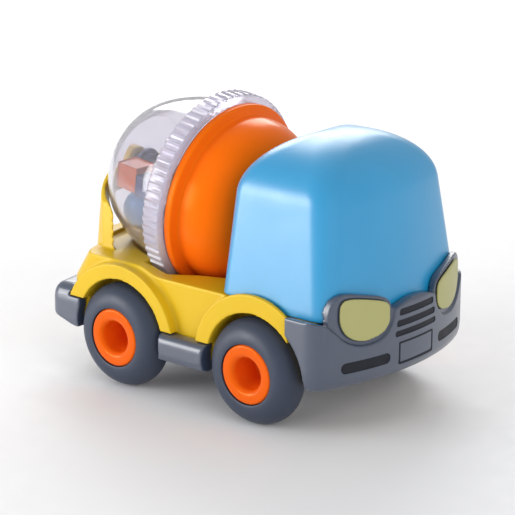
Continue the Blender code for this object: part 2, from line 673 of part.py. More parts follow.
def make_mixing_pieces(orange, navy, sky):
    """Loose blocks and balls inside the drum, lying in a heap."""
    blocks = (
        ("mixing_block_orange", orange, in_drum(30.3, -11.5, -0.2), 4.2),
        ("mixing_block_navy", navy, in_drum(21.9, -13.2, -1.2), 3.4),
    )
    balls = (
        ("mixing_ball_sky", sky, in_drum(27.0, -9.5, -11.8), 7.0),
        ("mixing_ball_navy", navy, in_drum(12.0, -9.0, -18.5), 6.2),
        ("mixing_ball_orange", orange, in_drum(-3.0, -4.0, -18.0), 6.4),
    )
    tilt = drum_place().to_3x3().to_4x4()
    for name, colour, centre, half in blocks:
        block = box((-half, -half, -half), (half, half, half))
        bmesh.ops.bevel(block, geom=block.edges[:], offset=1.2, segments=1, affect="EDGES")
        bmesh.ops.transform(block, matrix=Matrix.Translation(centre) @ tilt, verts=block.verts)
        mesh_object(name, block, colour, centre)
    for name, colour, centre, radius in balls:
        turns = [math.pi * i / 7 for i in range(1, 7)]
        between = [(-radius * math.cos(a), radius * math.sin(a)) for a in turns]
        rows = [(-radius, 0)] + between + [(radius, 0)]
        smooth(mesh_object(name, turned(rows, 12, Matrix.Translation(centre)), colour, centre))


def main():
    for old in list(bpy.data.objects):
        bpy.data.objects.remove(old)
    yellow = material("yellow_plastic", (0.86, 0.62, 0.06), 0.45)
    blue = material("blue_plastic", (0.16, 0.50, 0.85), 0.5)
    grey = material("grey_plastic", (0.12, 0.15, 0.20), 0.5)
    rubber = material("grey_rubber", (0.10, 0.12, 0.16), 0.6)
    orange = material("orange_plastic", (0.95, 0.18, 0.01), 0.35)
    clear = material("clear_plastic", (0.95, 0.95, 1.0), 0.05, transmission=1.0)
    lens = material("lens_plastic", (0.55, 0.52, 0.20), 0.35)
    steel = material("steel", (0.6, 0.6, 0.62), 0.3, 1.0)
    brass = material("brass", (0.75, 0.55, 0.25), 0.35, 1.0)
    white = material("white_nylon", (0.85, 0.85, 0.82), 0.45)
    casing = material("motor_casing", (0.05, 0.05, 0.06), 0.5)
    navy = material("navy_plastic", (0.03, 0.05, 0.22), 0.4)
    sky = material("sky_plastic", (0.30, 0.55, 0.85), 0.4)

    smooth(make_chassis(yellow), make_cab(blue), make_front_bumper(grey))
    for sign, word in ((1, "left"), (-1, "right")):
        lens_layer = front_layer(lens_outline(sign, 0.0), LENS_SEAT - GAP, 0.35)
        smooth(mesh_object(f"headlight_lens_{word}", lens_layer, lens))
    smooth(make_base_plate(grey), make_rear_bumper(grey))
    make_screws(steel)
    make_wheels(rubber, orange, steel)
    make_motor(brass, white, steel, casing)
    make_drum(orange, clear, steel, navy)
    make_mixing_pieces(orange, navy, sky)


main()
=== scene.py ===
"""Toy cement mixer: finely shaped pieces, materials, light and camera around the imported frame.

The truck faces -Y and stands on z = 0; +X is its left side and x = 0 its plane of symmetry. Shapes are drawn
in millimetres, with y measured from the same point as in the CAD drawing, and to_object() turns them into
metres in the frame.
"""

import json
import math

import bmesh
import bpy
from mathutils import Matrix, Vector


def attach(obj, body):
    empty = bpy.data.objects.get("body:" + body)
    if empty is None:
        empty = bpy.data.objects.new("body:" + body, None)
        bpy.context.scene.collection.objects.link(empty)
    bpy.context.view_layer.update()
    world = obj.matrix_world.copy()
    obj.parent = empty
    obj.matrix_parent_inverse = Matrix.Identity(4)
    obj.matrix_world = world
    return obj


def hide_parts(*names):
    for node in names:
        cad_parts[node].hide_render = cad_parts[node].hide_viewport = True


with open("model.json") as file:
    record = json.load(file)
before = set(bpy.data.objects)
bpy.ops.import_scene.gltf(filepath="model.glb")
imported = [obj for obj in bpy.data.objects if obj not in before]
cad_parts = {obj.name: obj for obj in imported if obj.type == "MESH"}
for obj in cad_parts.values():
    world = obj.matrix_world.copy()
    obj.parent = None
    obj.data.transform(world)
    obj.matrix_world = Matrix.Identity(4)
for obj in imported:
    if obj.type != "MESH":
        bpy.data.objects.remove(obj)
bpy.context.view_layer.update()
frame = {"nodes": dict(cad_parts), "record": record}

JOINTS = {joint["name"]: joint for joint in frame["record"]["behaviour"]["joints"]}

MM = 0.001
GAP = 0.3  # between pieces that touch
BEYOND = 50.0  # x past either side of the truck, for cuts
PLAN_STEPS = (24, 16, 10)  # along a plan's front, front corner and rear corner
SIDE_STEPS = 24  # along a straight side

# Wheels
FRONT_Y = -25.1
REAR_Y = 30.0
TYRE_R = 17.0
TYRE_TUBE = 6.5
HUB_R = 9.6
HUB_FACE = 6.4  # from the tyre's middle, outwards
HUB_SHOULDER = 4.3
HUB_FLOOR = -3.2  # bottom of the hub's well
HUB_BORE_END = -4.0
HUB_BACK = -4.9
SEAT_ROOM = 0.12  # between hub and tyre
WHEEL_X = 32.7  # middle of a tyre
WHEEL_STEPS = 112
AXLE_R = 1.5
RUN_R = AXLE_R + 0.35
MIDDLE_Y = FRONT_Y - JOINTS["front_axle_spin"]["pos_m"][1] / MM  # drawn y of the frame's origin

# Chassis
BODY_HALF = 33.0
BODY_FRONT = -47.5
BODY_END = 60.4
DECK_END = 54.2  # where the rear deck starts to slope down
UNDERSIDE_Z = 30.0  # of the body's rear end
FENDER_X = 36.4
SIDE_X = 38.3
FLOOR_Z = 15.6
DECK_Z = 38.5
REAR_DECK_Z = 41.0
FRONT_FENDER = (FRONT_Y, TYRE_R + 1.5, 23.2)  # y and z of its centre, and its radius
REAR_FENDER = (REAR_Y + 0.6, TYRE_R + 0.1, 23.4)
FRONT_FENDER_END = 22.3
REAR_FENDER_END = 26.4
WHEEL_ARCH_R = 18.1
WHEEL_ARCH_Z = TYRE_R + 0.6
WELL_INNER_X = 25.6
WELL_OUTER_X = 45.0
BAY_HALF = 23.5  # half width of the motor bay and of the tunnel behind it
TUNNEL_Z = 21.0
PLATE_Z = 13.5
STEP_Z = 13.0
REAR_END = 64.0
SCREWS = ((27.0, 2.5), (-27.0, 2.5), (14.0, 46.5), (-14.0, 46.5))

# Rear arch, which holds the drum's rear pin
ARCH_LOW = 33.0
ARCH_TALL = 32.4
ARCH_HALF = 25.4
ARCH_LEAN = 0.16
SHOULDER_Z = 55.5
ARCH_REAR = 59.4
ARCH_THICK = 5.0
ARCH_BOW = 3e-5  # how fast it curves forwards towards its sides

# Cab
CAB_Z = 39.0
SKIRT_Z = 37.2  # lower edge of the cab's front part, which drops into the bumper
SKIRT_REAR = -34.0
CAB_ROOM = 0.35  # between the cab and what it stands in
CAB_TOP = 87.6
CAB_HALF = 34.2
CAB_FRONT = -57.3
CAB_REAR = -10.0
CAB_WALL = 1.8
CAB_LIP = 0.55  # radius of the lower edge
CAB_SIDE_LEAN = 0.125
CAB_FRONT_LEAN = 0.14
CAB_REAR_LEAN = 0.05
CAB_FRONT_RADIUS = 100.0
CAB_CROWN_Z = 70.5
CAB_CROWN_POWER = 2.1
CAB_CROWN_SWEEP = 88.5  # degrees; a full 90 would close the top in a point
CAB_FRONT_CORNER = 7.8
CAB_REAR_CORNER = 4.5

# Front bumper
BUMPER_FRONT = -61.0
BUMPER_REAR = -39.5
BUMPER_Z = 16.1
BUMPER_LIFT = 0.9
BUMPER_TOP = 40.4
BUMPER_WALL = 3.0
HOOD_SETBACK = 1.0
LENS_SEAT = 1.3
RECESS = 0.4  # depth of the slots
PRINT_DEPTH = 0.3  # of the dark layer below a slot's floor
PRINT_RISE = 0.22  # of the dark layer above a slot's floor
PLATE_HALF = 8.7
PLATE_LOW = 20.2
PLATE_HIGH = 27.4

# Drum
DRUM_CENTRE = Vector(JOINTS["drum_spin"]["pos_m"]) / MM + Vector((0, MIDDLE_Y, 0))
DRUM_AXIS = Vector(JOINTS["drum_spin"]["axis"])
DRUM_TILT = math.atan2(DRUM_AXIS.z, DRUM_AXIS.y)
RIM_R = 31.1
RING_R = 33.5
RING_FRONT = 0.7
RING_REAR = 7.4
DOME_R = 30.2
DOME_MOUTH = 0.8
DOME_START = 5.0
DOME_LENGTH = 35.0
DOME_SHOULDER = 36.9  # where the dome turns in to its flat end
DOME_END = 38.4
DOME_END_R = 11.5
CONE_END = -21.2
DRUM_WALL = 1.6
DRUM_ROOM = 0.7  # running clearance round the drum
PIN_R = 2.0
DRUM_STEPS = 192
RIBS = 72
RIB_DEPTH = 0.6
RIB_STEPS = 12  # points round each rib
SEAM = 0.09  # height of a ball's moulding seam

# Studio, in metres
AIM = (0, 0, 0.05)
CAMERA_AT = (-0.51428, -0.42708, 0.24061)
CAMERA_VIEW = (0.73613, 0.61297, -0.28703)
SENSOR_MM = 36.0
LENS_MM = 151.5
FLOOR_RADIUS = 6.0
FLOOR_DROP = 0.0002  # below the tyres


# ---------------------------------------------------------------- mesh helpers


def to_object(name, drawn):
    """An object in the frame, in metres, from a drawn bmesh."""
    bmesh.ops.recalc_face_normals(drawn, faces=drawn.faces)
    place = Matrix.Scale(MM, 4) @ Matrix.Translation((0, -MIDDLE_Y, 0))
    bmesh.ops.transform(drawn, matrix=place, verts=drawn.verts)
    mesh = bpy.data.meshes.new(name)
    drawn.to_mesh(mesh)
    drawn.free()
    made = bpy.data.objects.new(name, mesh)
    bpy.context.scene.collection.objects.link(made)
    return made


def drawing_of(made):
    """Turns an object back into a drawn bmesh, and removes it."""
    drawn = bmesh.new()
    drawn.from_mesh(made.data)
    back = Matrix.Translation((0, MIDDLE_Y, 0)) @ Matrix.Scale(1 / MM, 4)
    bmesh.ops.transform(drawn, matrix=back, verts=drawn.verts)
    bpy.data.objects.remove(made)
    return drawn


def lofted(rings, closed=False):
    """A solid through rings of equally many points: with flat ends, or joined end to end."""
    solid = bmesh.new()
    rows = [[solid.verts.new(point) for point in ring] for ring in rings]
    count = len(rows[0])
    pairs = list(zip(rows, rows[1:]))
    if closed:
        pairs.append((rows[-1], rows[0]))
    for low, high in pairs:
        for i in range(count):
            j = (i + 1) % count
            solid.faces.new((low[i], low[j], high[j], high[i]))
    if not closed:
        solid.faces.new(rows[0][::-1])
        solid.faces.new(rows[-1])
    return solid


def turned(profile, steps, place=Matrix.Identity(4), closed=False):
    """A body of revolution about local Z from (height, radius) points, closed as a ring or at the axis."""
    solid = bmesh.new()
    rows = []
    for height, radius in profile:
        if radius == 0:
            rows.append([solid.verts.new(place @ Vector((0, 0, height)))])
            continue
        angles = [2 * math.pi * i / steps for i in range(steps)]
        around = [Vector((radius * math.cos(a), radius * math.sin(a), height)) for a in angles]
        rows.append([solid.verts.new(place @ point) for point in around])
    pairs = list(zip(rows, rows[1:]))
    if closed:
        pairs.append((rows[-1], rows[0]))
    for one, two in pairs:
        for i in range(steps):
            j = (i + 1) % steps
            if len(one) == 1:
                solid.faces.new((one[0], two[i], two[j]))
            elif len(two) == 1:
                solid.faces.new((one[i], one[j], two[0]))
            else:
                solid.faces.new((one[i], one[j], two[j], two[i]))
    return solid


def box(low, high):
    x0, y0, z0 = low
    x1, y1, z1 = high
    return lofted([[(x0, y0, z), (x1, y0, z), (x1, y1, z), (x0, y1, z)] for z in (z0, z1)])


def slab(y=(-60, 60), z=(-20, 60)):
    """A block across the truck's whole width, for cuts."""
    return box((-BEYOND, y[0], z[0]), (BEYOND, y[1], z[1]))


def rod(start, end, radius, steps=64):
    """A cylinder between two points."""
    start, end = Vector(start), Vector(end)
    length = (end - start).length
    turn = (end - start).to_track_quat("Z", "Y").to_matrix().to_4x4()
    place = Matrix.Translation(start) @ turn
    return turned([(0, 0), (0, radius), (length, radius), (length, 0)], steps, place)


def combine(target, other, operation):
    """Joins, cuts or intersects the target with a drawn bmesh, for good."""
    tool = to_object("tool", other)
    modifier = target.modifiers.new("combine", "BOOLEAN")
    modifier.operation = operation
    modifier.object = tool
    bake(target)
    bpy.data.objects.remove(tool)


def bake(target):
    """Applies the modifiers of an object."""
    graph = bpy.context.evaluated_depsgraph_get()
    result = bpy.data.meshes.new_from_object(target.evaluated_get(graph))
    target.modifiers.clear()
    old = target.data
    target.data = result
    bpy.data.meshes.remove(old)


def join(target, other):
    combine(target, other, "UNION")


def cut(target, other):
    combine(target, other, "DIFFERENCE")


def keep(target, other):
    combine(target, other, "INTERSECT")


def moulded(target, voxel, rounding, share=1.0):
    """Gives the edges of a solid the soft radii of a moulding: even small faces, then smoothing."""
    remesh = target.modifiers.new("even", "REMESH")
    remesh.mode = "VOXEL"
    remesh.voxel_size = voxel * MM
    soften = target.modifiers.new("soften", "SMOOTH")
    soften.factor = 0.5
    soften.iterations = rounding
    if share < 1:
        thin = target.modifiers.new("thin", "DECIMATE")
        thin.ratio = share
    bake(target)
    target.data.shade_smooth()
    return target


def soften_edges(made, width, segments):
    """A bevel on an object's edges, which can still be limited."""
    soft = made.modifiers.new("edges", "BEVEL")
    soft.width = width * MM
    soft.segments = segments
    return soft


def with_edges(made, angle):
    """Smooth shading, except at edges sharper than an angle in degrees."""
    made.data.shade_smooth()
    made.data.set_sharp_from_angle(angle=math.radians(angle))


def arc(centre, radius, first, last, steps):
    """Points of an arc; the angles are in degrees, from -Y round towards +X."""
    angles = [math.radians(first + (last - first) * i / steps) for i in range(steps + 1)]
    return [(centre[0] + radius * math.sin(a), centre[1] - radius * math.cos(a)) for a in angles]


def plan_outline(half, front, rear, front_corner, rear_corner, front_radius, steps=PLAN_STEPS):
    """Plan of a body with a gently curved front and round corners, symmetric about x = 0."""
    reach = half - front_corner
    centre_y = front + front_radius
    corner_y = centre_y - math.sqrt((front_radius - front_corner) ** 2 - reach**2)
    turn = math.degrees(math.asin(reach / (front_radius - front_corner)))
    right = arc((0, centre_y), front_radius, 0, turn, steps[0])
    right += arc((reach, corner_y), front_corner, turn, 90, steps[1])[1:]
    if rear_corner:
        length = rear - rear_corner - corner_y
        right += [(half, corner_y + length * i / SIDE_STEPS) for i in range(1, SIDE_STEPS)]
        right += arc((half - rear_corner, rear - rear_corner), rear_corner, 90, 180, steps[2])
    else:
        right.append((half, rear))
    return right + [(-x, y) for x, y in reversed(right[1:])]


def prism(outline, low, high, axis="Z"):
    """An outline extruded along an axis: (x, y) along Z, (x, z) along Y, or (y, z) along X."""
    place = {
        "Z": lambda a, b, c: (a, b, c),
        "Y": lambda a, b, c: (a, c, b),
        "X": lambda a, b, c: (c, a, b),
    }[axis]
    return lofted([[place(a, b, c) for a, b in outline] for c in (low, high)])


def curve_through(points, steps, closed=True):
    """A smooth curve through points, with so many steps between neighbours."""
    count = len(points)
    made = []
    for i in range(count if closed else count - 1):
        if closed:
            four = [Vector(points[(i + k) % count]) for k in (-1, 0, 1, 2)]
        else:
            four = [Vector(points[min(max(i + k, 0), count - 1)]) for k in (-1, 0, 1, 2)]
        a, b, c, d = four
        for step in range(steps):
            t = step / steps
            bend = 2 * a - 5 * b + 4 * c - d
            twist = 3 * b - a - 3 * c + d
            made.append(tuple((2 * b + (c - a) * t + bend * t**2 + twist * t**3) / 2))
    if not closed:
        made.append(tuple(points[-1]))
    return made


def rounded(points, radius, steps=8, closed=True):
    """A polygon with its corners rounded; a radius may be one number or one per corner."""
    made = []
    count = len(points)
    for i, point in enumerate(points):
        size = radius[i] if isinstance(radius, (list, tuple)) else radius
        if size == 0 or (not closed and i in (0, count - 1)):
            made.append(tuple(point))
            continue
        corner = Vector(point)
        before = Vector(points[i - 1]) - corner
        after = Vector(points[(i + 1) % count]) - corner
        half_angle = before.angle(after) / 2
        reach = min(size / math.tan(half_angle), before.length / 2, after.length / 2)
        size = reach * math.tan(half_angle)
        inwards = (before.normalized() + after.normalized()).normalized()
        middle = corner + inwards * (size / math.sin(half_angle))
        start = corner + before.normalized() * reach - middle
        end = corner + after.normalized() * reach - middle
        sweep = start.angle_signed(end)
        for k in range(steps + 1):
            turn = Matrix.Rotation(-sweep * k / steps, 2)
            made.append(tuple(middle + turn @ start))
    return made


def drum_place():
    """Turns local Z into the drum's axis, with the middle of its rim as origin."""
    return Matrix.Translation(DRUM_CENTRE) @ Matrix.Rotation(math.radians(-90) + DRUM_TILT, 4, "X")


def on_drum(along, radius=0.0, angle=0.0):
    """A point by its distance along the drum's axis and its polar place round it."""
    turn = math.radians(angle)
    side = Vector((1, 0, 0))
    up = Vector((0, -math.sin(DRUM_TILT), math.cos(DRUM_TILT)))
    axis = Vector((0, math.cos(DRUM_TILT), math.sin(DRUM_TILT)))
    return DRUM_CENTRE + along * axis + radius * (math.cos(turn) * side + math.sin(turn) * up)


def wheel_cylinder(y, z, radius, inner_x, outer_x, side):
    """A cylinder across one side of the truck, coaxial with a wheel at that y and z."""
    return rod((side * inner_x, y, z), (side * outer_x, y, z), radius, 96)


# ---------------------------------------------------------------- materials


def link(tree, output, target):
    tree.links.new(output, target)


def node(tree, kind, **values):
    """A new shader node; values are its attributes, or inputs by name."""
    made = tree.nodes.new(kind)
    for name, value in values.items():
        if hasattr(made, name):
            setattr(made, name, value)
        else:
            made.inputs[name.replace("_", " ")].default_value = value
    return made


def new_surface(name):
    """A new material, its tree, its shader and the object coordinates."""
    made = bpy.data.materials.new(name)
    made.use_nodes = True
    tree = made.node_tree
    place = node(tree, "ShaderNodeTexCoord").outputs["Object"]
    return made, tree, tree.nodes["Principled BSDF"], place


def noise(tree, place, scale, detail, roughness):
    made = node(tree, "ShaderNodeTexNoise", Scale=scale, Detail=detail, Roughness=roughness)
    link(tree, place, made.inputs["Vector"])
    return made.outputs["Fac"]


def ranged(tree, value, before, after):
    """Maps a value from one range to another and clamps it there."""
    made = node(tree, "ShaderNodeMapRange", clamp=True)
    for name, number in zip(("From Min", "From Max", "To Min", "To Max"), (*before, *after)):
        made.inputs[name].default_value = number
    link(tree, value, made.inputs["Value"])
    return made.outputs["Result"]


def blended(tree, share, first, second):
    """Blends two colours by a share; the first may be another node's output."""
    made = node(tree, "ShaderNodeMix", data_type="RGBA")
    made.inputs["B"].default_value = (*second, 1)
    link(tree, share, made.inputs["Factor"])
    if isinstance(first, bpy.types.NodeSocket):
        link(tree, first, made.inputs["A"])
    else:
        made.inputs["A"].default_value = (*first, 1)
    return made.outputs["Result"]


def bumped(tree, height, shader, strength, distance):
    made = node(tree, "ShaderNodeBump", Strength=strength, Distance=distance)
    link(tree, height, made.inputs["Height"])
    link(tree, made.outputs["Normal"], shader.inputs["Normal"])


def scaled(colour, factor, lift=0.0):
    """A paler or darker colour, without going past white."""
    return [min(c * factor + lift, 1) for c in colour]


def plastic(name, colour, roughness, grain=0.15, tint=0.06, wear=0.10, coat=0.0, spec=0.5, gleam=(1, 1, 1)):
    """Moulded plastic: faint cloudy colour, uneven gloss, fine grain, and slightly paler rubbed edges."""
    made, tree, shader, place = new_surface(name)
    shader.inputs["Specular IOR Level"].default_value = spec
    shader.inputs["Coat Weight"].default_value = coat
    shader.inputs["Coat Roughness"].default_value = 0.35
    shader.inputs["Specular Tint"].default_value = (*gleam, 1)

    cloud = noise(tree, place, scale=45.0, detail=3.0, roughness=0.5)
    cloudy = blended(tree, cloud, scaled(colour, 1 - tint), scaled(colour, 1 + tint, 0.01))
    pointed = node(tree, "ShaderNodeNewGeometry").outputs["Pointiness"]
    edge = ranged(tree, pointed, (0.53, 0.62), (0, wear))
    rubbed = blended(tree, edge, cloudy, scaled(colour, 0.75, 0.12))
    link(tree, rubbed, shader.inputs["Base Color"])

    smear = noise(tree, place, scale=140.0, detail=4.0, roughness=0.6)
    gloss = ranged(tree, smear, (0.3, 0.7), (roughness * 0.88, roughness * 1.14))
    link(tree, gloss, shader.inputs["Roughness"])
    fine = noise(tree, place, scale=2600.0, detail=2.0, roughness=0.5)
    bumped(tree, fine, shader, strength=grain, distance=0.00004)
    return made


def clear_plastic(name, colour, roughness, clear=1.0):
    """Clear moulded plastic with a trace of flow waviness and handling haze."""
    made, tree, shader, place = new_surface(name)
    shader.inputs["Transmission Weight"].default_value = clear
    shader.inputs["IOR"].default_value = 1.5
    cloud = noise(tree, place, scale=30.0, detail=2.0, roughness=0.5)
    cloudy = blended(tree, cloud, scaled(colour, 0.98), scaled(colour, 1.02))
    link(tree, cloudy, shader.inputs["Base Color"])
    haze = noise(tree, place, scale=90.0, detail=4.0, roughness=0.6)
    gloss = ranged(tree, haze, (0.35, 0.75), (roughness, roughness * 2.5))
    link(tree, gloss, shader.inputs["Roughness"])
    flow = noise(tree, place, scale=55.0, detail=1.0, roughness=0.4)
    bumped(tree, flow, shader, strength=0.08, distance=0.0004)
    return made


def metal(name, colour, roughness, stretch):
    """Turned or drawn metal with fine lines along one direction."""
    made, tree, shader, place = new_surface(name)
    shader.inputs["Metallic"].default_value = 1.0
    sizing = node(tree, "ShaderNodeMapping")
    sizing.inputs["Scale"].default_value = stretch
    link(tree, place, sizing.inputs["Vector"])
    lines = noise(tree, sizing.outputs["Vector"], scale=900.0, detail=3.0, roughness=0.6)
    drawn = blended(tree, lines, scaled(colour, 0.85), scaled(colour, 1.1))
    link(tree, drawn, shader.inputs["Base Color"])
    gloss = ranged(tree, lines, (0, 1), (roughness * 0.8, roughness * 1.3))
    link(tree, gloss, shader.inputs["Roughness"])
    bumped(tree, lines, shader, strength=0.2, distance=0.00003)
    return made


YELLOW = plastic("yellow_moulding", (0.68, 0.44, 0.008), 0.36, gleam=(1, 0.85, 0.5))
BLUE = plastic("blue_moulding", (0.005, 0.285, 0.57), 0.36, grain=0.12, coat=0.6, spec=0.8)
GREY = plastic("grey_moulding", (0.030, 0.046, 0.086), 0.38, coat=0.8, spec=0.9)
TYRE = plastic("tyre_vinyl", (0.027, 0.038, 0.068), 0.46, grain=0.2, wear=0.05, spec=0.45)
ORANGE = plastic("orange_moulding", (0.94, 0.15, 0.0), 0.24, grain=0.06, spec=0.35, gleam=(1, 0.4, 0.03))
HUB = plastic("hub_moulding", (0.76, 0.10, 0.0), 0.2, grain=0.05, spec=0.4, gleam=(1, 0.5, 0.1))
LENS = plastic("lens_paint", (0.40, 0.385, 0.145), 0.32, grain=0.06)
PRINT = plastic("dark_print", (0.008, 0.009, 0.016), 0.55, wear=0.0, spec=0.3)
CLEAR = clear_plastic("clear_moulding", (0.88, 0.87, 0.93), 0.02, 0.905)
RIBBED = clear_plastic("clear_ribs", (0.84, 0.81, 0.92), 0.10, 0.65)
NAVY = plastic("navy_moulding", (0.02, 0.035, 0.20), 0.3)
SKY = plastic("sky_moulding", (0.10, 0.38, 0.85), 0.3)
CASING = plastic("black_casing", (0.03, 0.03, 0.035), 0.42)
NYLON = plastic("white_nylon", (0.82, 0.82, 0.78), 0.4)
STEEL = metal("drawn_steel", (0.62, 0.62, 0.64), 0.28, (0.03, 1, 1))
BRASS = metal("cut_brass", (0.78, 0.56, 0.25), 0.3, (0.05, 1, 1))


def finished(made, surface, body, replaces=()):
    """Gives a piece its material and its place in the frame."""
    made.data.materials.clear()
    made.data.materials.append(surface)
    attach(made, body)
    if replaces:
        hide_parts(*replaces)
    return made


# ---------------------------------------------------------------- cab


def cab_outline(z, scale, inset):
    """Plan of the cab at a height; a scale below 1 draws it in towards the crown."""
    height = z - CAB_Z
    half = CAB_HALF - CAB_SIDE_LEAN * height - inset
    front = CAB_FRONT + CAB_FRONT_LEAN * height + inset
    rear = CAB_REAR - CAB_REAR_LEAN * height - inset
    rounder = 1 + 1.6 * (1 - scale) + 0.004 * height
    front_corner = (CAB_FRONT_CORNER - inset) * rounder
    rear_corner = (CAB_REAR_CORNER - inset) * rounder
    outline = plan_outline(half, front, rear, front_corner, rear_corner, CAB_FRONT_RADIUS)
    middle = (front + rear) / 2
    return [(x * scale, middle + (y - middle) * scale, z) for x, y in outline]


def cab_rings(inset, low):
    """Sections of the cab from a height up to its crown."""
    walls = 14
    crown = 26
    top = CAB_TOP - inset
    rings = []
    for i in range(walls):
        z = low + (CAB_CROWN_Z - low) * i / walls
        rings.append(cab_outline(z, 1.0, inset))
    for i in range(crown + 1):
        rise = math.sin(math.radians(CAB_CROWN_SWEEP * i / crown))
        shrink = (1 - rise**CAB_CROWN_POWER) ** (1 / CAB_CROWN_POWER)
        rings.append(cab_outline(CAB_CROWN_Z + (top - CAB_CROWN_Z) * rise, shrink, inset))
    return rings


def cab_clearance(low):
    """Space that the cab takes, from a given height up."""
    wider = 1.012
    return lofted([[(x * wider, y, z) for x, y, z in ring] for ring in cab_rings(-CAB_ROOM, low)])


def skirt_clearance():
    """Space that the front part of the cab takes, down to its lower edge."""
    room = to_object("room", cab_clearance(SKIRT_Z - CAB_ROOM))
    cut(room, slab((SKIRT_REAR + CAB_ROOM, 20), (0, 100)))
    return drawing_of(room)


def edge_ring(rise, inset):
    """A section so far above the cab's lower edge, which drops in the front part."""
    made = []
    for high, low in zip(cab_outline(CAB_Z + rise, 1.0, inset), cab_outline(SKIRT_Z + rise, 1.0, inset)):
        share = min(max(SKIRT_REAR - high[1], 0), 1)
        made.append(Vector(high).lerp(Vector(low), share))
    return made


def make_cab():
    """A shell, open below, with a half-round lower edge."""
    outer = [edge_ring(CAB_LIP, 0.0)] + cab_rings(0.0, CAB_Z + 2 * CAB_LIP)
    inner = [edge_ring(CAB_LIP, CAB_WALL)] + cab_rings(CAB_WALL, CAB_Z + 2 * CAB_LIP)
    edge = []
    for i in range(1, 8):
        turn = math.pi * i / 8
        edge.append(edge_ring(CAB_LIP - CAB_LIP * math.sin(turn), CAB_WALL / 2 * (1 - math.cos(turn))))
    cab = to_object("cab_shell", lofted(outer[::-1] + edge + inner))
    cab.data.shade_smooth()
    return finished(cab, BLUE, "truck_body", ["cab"])


# ---------------------------------------------------------------- chassis


def dome_radius(along):
    """Outer radius of the clear dome: nearly straight at first, then blunt."""
    share = min(max((along - DOME_START) / DOME_LENGTH, 0.0), 1.0)
    return DOME_R * (1 - share**1.36) ** 0.25


def dome_profile(inset=0.0, steps=44):
    """(along, radius) from the mouth to the flat end, moved inwards by the inset."""
    points = []
    for i in range(steps + 1):
        along = DOME_START + (DOME_SHOULDER - DOME_START) * math.sin(math.pi / 2 * i / steps) ** 0.9
        points.append((along, dome_radius(along)))
    end = Vector(points[-1])
    slope = (Vector(points[-1]) - Vector(points[-2])).normalized()
    target = Vector((DOME_END, DOME_END_R))
    for i in range(1, 9):
        t = i / 8
        reach = slope * 5.0 * t * (1 - t) ** 2
        points.append(tuple(end.lerp(target, t * t * (3 - 2 * t)) + reach))
    moved = []
    for i, (along, radius) in enumerate(points):
        before = Vector(points[max(i - 1, 0)])
        after = Vector(points[min(i + 1, len(points) - 1)])
        edge = (after - before).normalized()
        moved.append((along + edge.y * inset, radius - edge.x * inset))
    return moved


def trough():
    """Space that the turning drum needs, with running clearance."""
    ring_room = RING_R + 1.2
    profile = [(CONE_END - DRUM_ROOM, 0), (CONE_END - DRUM_ROOM, 20.5), (-18, 26.5), (-10, 29.5)]
    profile += [(-1.2, ring_room), (8.2, ring_room), (8.4, DOME_R + 1.5)]
    profile += [(a + DRUM_ROOM, r + DRUM_ROOM) for a, r in dome_profile(0.0, 16)[1:]]
    profile += [(DOME_END + 1.0, 0)]
    return turned(profile, 96, drum_place())


def deck_block():
    """Body of the chassis: low deck, ramp up to the rear deck, and a sloping rear end."""
    profile = [(BODY_FRONT, FLOOR_Z), (BODY_FRONT, DECK_Z), (17.5, DECK_Z), (23.0, REAR_DECK_Z)]
    profile += [(DECK_END, REAR_DECK_Z), (BODY_END, 32.4), (BODY_END, UNDERSIDE_Z)]
    profile += [(52.0, UNDERSIDE_Z), (52.0, FLOOR_Z)]
    profile = rounded(profile, [0, 0, 14, 14, 1.5, 1.0, 0.8, 0, 0])
    return prism(profile, -BODY_HALF, BODY_HALF, "X")


def bowed_rear():
    """Space in front of the rear end, which is bowed in plan and rounds off at the sides."""
    side = BODY_HALF + 1
    levels = ((FLOOR_Z - 1, BODY_END), (31.4, BODY_END), (REAR_DECK_Z, DECK_END), (REAR_DECK_Z + 2, 52.9))
    sections = []
    for z, middle in levels:
        xs = [side * (1 - i / 20) for i in range(41)]
        bow = [(x, middle - 0.006 * x * x - max(abs(x) - 29, 0) ** 2 * 0.16, z) for x in xs]
        sections.append([(-side, -60, z), (side, -60, z)] + bow)
    return lofted(sections)


def add_fenders(chassis):
    for side in (-1, 1):
        for y, z, radius in (FRONT_FENDER, REAR_FENDER):
            fender = to_object("fender", wheel_cylinder(y, z, radius, 29, FENDER_X, side))
            cut(fender, slab(z=(-20, FRONT_FENDER_END)))
            cut(fender, slab(y=(-60, BUMPER_REAR + GAP)))
            cut(fender, slab(y=(REAR_Y, 60), z=(-20, REAR_FENDER_END)))
            join(chassis, drawing_of(fender))


def arch_wall():
    """The rear arch before its window is cut: a bowed wall, narrower upwards, with sloping shoulders."""
    steps = 40
    across = 24
    rings = []
    for i in range(steps + 1):
        z = ARCH_LOW + ARCH_TALL * i / steps
        half = ARCH_HALF - ARCH_LEAN * max(z - REAR_DECK_Z, 0) - 1.2 * max(z - SHOULDER_Z, 0) ** 1.02
        rear = ARCH_REAR - 0.12 * (z - REAR_DECK_Z)
        xs = [half * (1 - 2 * k / across) for k in range(across + 1)]
        back = [(x, rear - ARCH_BOW * x**4, z) for x in xs]
        front = [(x, y - ARCH_THICK, z) for x, y, z in reversed(back)]
        rings.append(front + back)
    return lofted(rings)


def add_rear_arch(chassis):
    """The arch, the round boss for the drum's rear pin, and the window below it."""
    join(chassis, arch_wall())
    join(chassis, rod(on_drum(41.0), on_drum(45.0), 4.6))
    half = [(14.8, 42.6), (15.6, 44.4), (15.6, 52.6), (14.8, 55.0), (13.0, 56.0)]
    window = [(-14.8, 42.6)] + half + [(-x, z) for x, z in reversed(half[1:])]
    cut(chassis, prism(rounded(window, 1.5, 5), 40, 64, "Y"))


